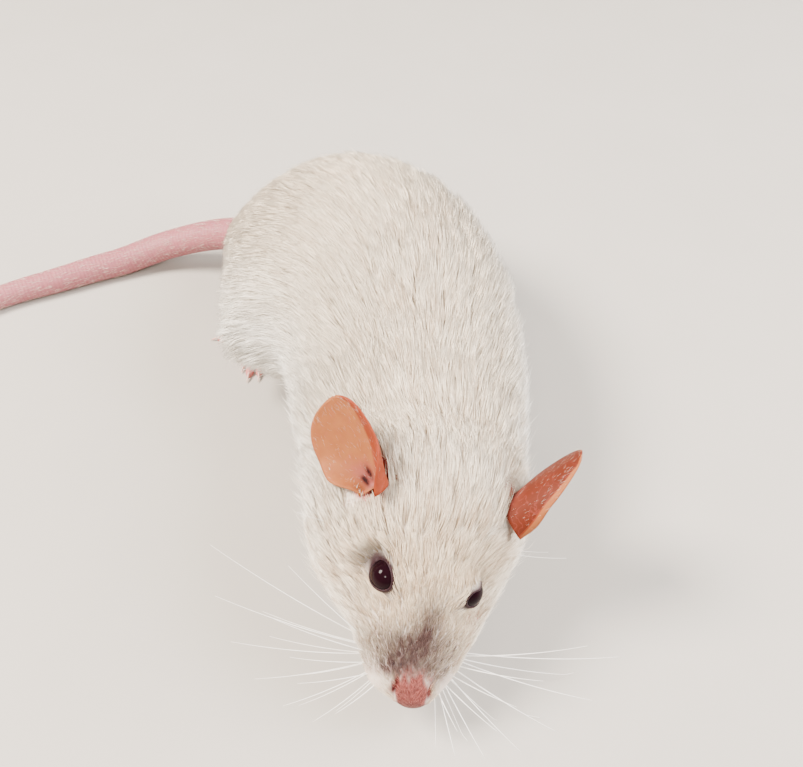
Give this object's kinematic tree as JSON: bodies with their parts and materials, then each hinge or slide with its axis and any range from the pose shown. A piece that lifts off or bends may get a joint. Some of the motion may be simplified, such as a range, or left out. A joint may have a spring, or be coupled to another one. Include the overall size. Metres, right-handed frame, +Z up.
{
  "type": "mouse model",
  "caption": "Still life-size model of a white pet mouse, crouched on the floor with its head turned down, ears cupped and tail curled out to one side.",
  "frame": {"origin": "on the floor, under the middle of the box round the whole mouse with its tail", "axes": "+Z is up. -Y is the way the mouse faces. -X is the side of its right flank and of its tail, so X is the longest way across."},
  "size_m": [0.1174, 0.0918, 0.0318],
  "materials": {
    "coat": "soft white fur",
    "bare_skin": "soft pink skin",
    "ear_skin": "thin skin",
    "eye": "wet gloss",
    "whisker": "clear stiff hair",
    "tail_skin": "fine ringed skin"
  },
  "bodies": {
    "root": {"head": "coat", "nose": "bare_skin", "lower_jaw": "coat", "eye_right": "eye", "eye_left": "eye", "ear_right": "ear_skin", "ear_left": "ear_skin", "whisker_right_1": "whisker", "whisker_right_2": "whisker", "whisker_right_3": "whisker", "whisker_right_4": "whisker", "whisker_right_5": "whisker", "whisker_right_6": "whisker", "whisker_left_1": "whisker", "whisker_left_2": "whisker", "whisker_left_3": "whisker", "whisker_left_4": "whisker", "whisker_left_5": "whisker", "whisker_left_6": "whisker", "thigh_right": "coat", "thigh_left": "coat", "neck": "coat", "chest": "coat", "abdomen": "coat", "rump": "coat", "hind_foot_right": "bare_skin", "hind_foot_left": "bare_skin", "forepaw_right": "bare_skin", "forepaw_left": "bare_skin", "foreleg_right": "coat", "foreleg_left": "coat", "shank_right": "coat", "shank_left": "coat", "tail_1": "tail_skin", "tail_2": "tail_skin", "tail_3": "tail_skin", "tail_4": "tail_skin"}
  },
  "joints": []
}
